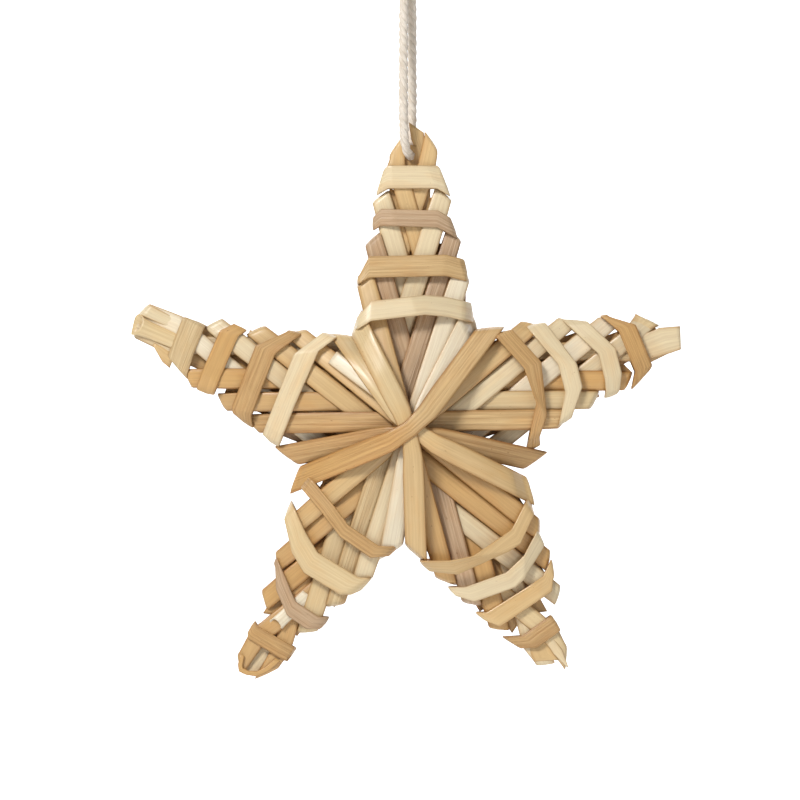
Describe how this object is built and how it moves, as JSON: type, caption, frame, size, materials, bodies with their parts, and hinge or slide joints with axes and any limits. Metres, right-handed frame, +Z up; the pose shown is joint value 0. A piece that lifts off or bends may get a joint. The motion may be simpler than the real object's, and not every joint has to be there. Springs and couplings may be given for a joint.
{
  "type": "straw star ornament",
  "caption": "Hanging five-pointed star wound from flattened straws, with straw wraps round its arms and a doubled cotton cord.",
  "frame": {"origin": "the hanging point: the fork of the doubled cord under its knot, where a hook or twig holds it", "axes": "front of the star faces -Y, +X to its right seen from the front, +Z up along the cord"},
  "size_m": [0.1412, 0.0336, 0.1886],
  "materials": {
    "straw_pale": "satin",
    "straw_gold": "satin",
    "straw_tan": "satin",
    "straw_brown": "satin",
    "cord_cotton": "matte"
  },
  "bodies": {
    "root": {"straw_top_lower_left_1": "straw_tan", "straw_top_lower_left_2": "straw_pale", "straw_top_lower_left_3": "straw_brown", "straw_top_lower_left_4": "straw_pale", "straw_top_lower_left_5": "straw_pale", "straw_lower_right_top_1": "straw_tan", "straw_lower_right_top_2": "straw_pale", "straw_lower_right_top_3": "straw_brown", "straw_lower_right_top_4": "straw_tan", "straw_lower_right_top_5": "straw_pale", "straw_lower_left_right_1": "straw_pale", "straw_lower_left_right_2": "straw_gold", "straw_lower_left_right_3": "straw_pale", "straw_lower_left_right_4": "straw_gold", "straw_lower_left_right_5": "straw_tan", "straw_right_left_1": "straw_gold", "straw_right_left_2": "straw_tan", "straw_right_left_3": "straw_gold", "straw_right_left_4": "straw_gold", "straw_right_left_5": "straw_tan", "straw_left_lower_right_1": "straw_pale", "straw_left_lower_right_2": "straw_gold", "straw_left_lower_right_3": "straw_pale", "straw_left_lower_right_4": "straw_tan", "straw_left_lower_right_5": "straw_pale", "tip_straw_top": "straw_gold", "tip_straw_left": "straw_tan", "tip_straw_lower_left": "straw_tan", "tip_straw_lower_right": "straw_tan", "tip_straw_right": "straw_tan", "band_top_1": "straw_pale", "band_top_2": "straw_brown", "band_top_3": "straw_gold", "band_top_4": "straw_pale", "band_left_1": "straw_gold", "band_left_2": "straw_tan", "band_left_3": "straw_tan", "band_left_4": "straw_pale", "band_lower_left_1": "straw_tan", "band_lower_left_2": "straw_brown", "band_lower_left_3": "straw_gold", "band_lower_left_4": "straw_tan", "band_lower_right_1": "straw_tan", "band_lower_right_2": "straw_gold", "band_lower_right_3": "straw_pale", "band_lower_right_4": "straw_gold", "band_right_1": "straw_tan", "band_right_2": "straw_pale", "band_right_3": "straw_pale", "band_right_4": "straw_tan", "core_bundle_top": "straw_tan", "core_bundle_left": "straw_tan", "core_bundle_lower_left": "straw_tan", "core_bundle_lower_right": "straw_tan", "core_bundle_right": "straw_tan", "short_straw": "straw_pale", "hanging_cord": "cord_cotton", "cord_knot": "cord_cotton"}
  },
  "joints": []
}
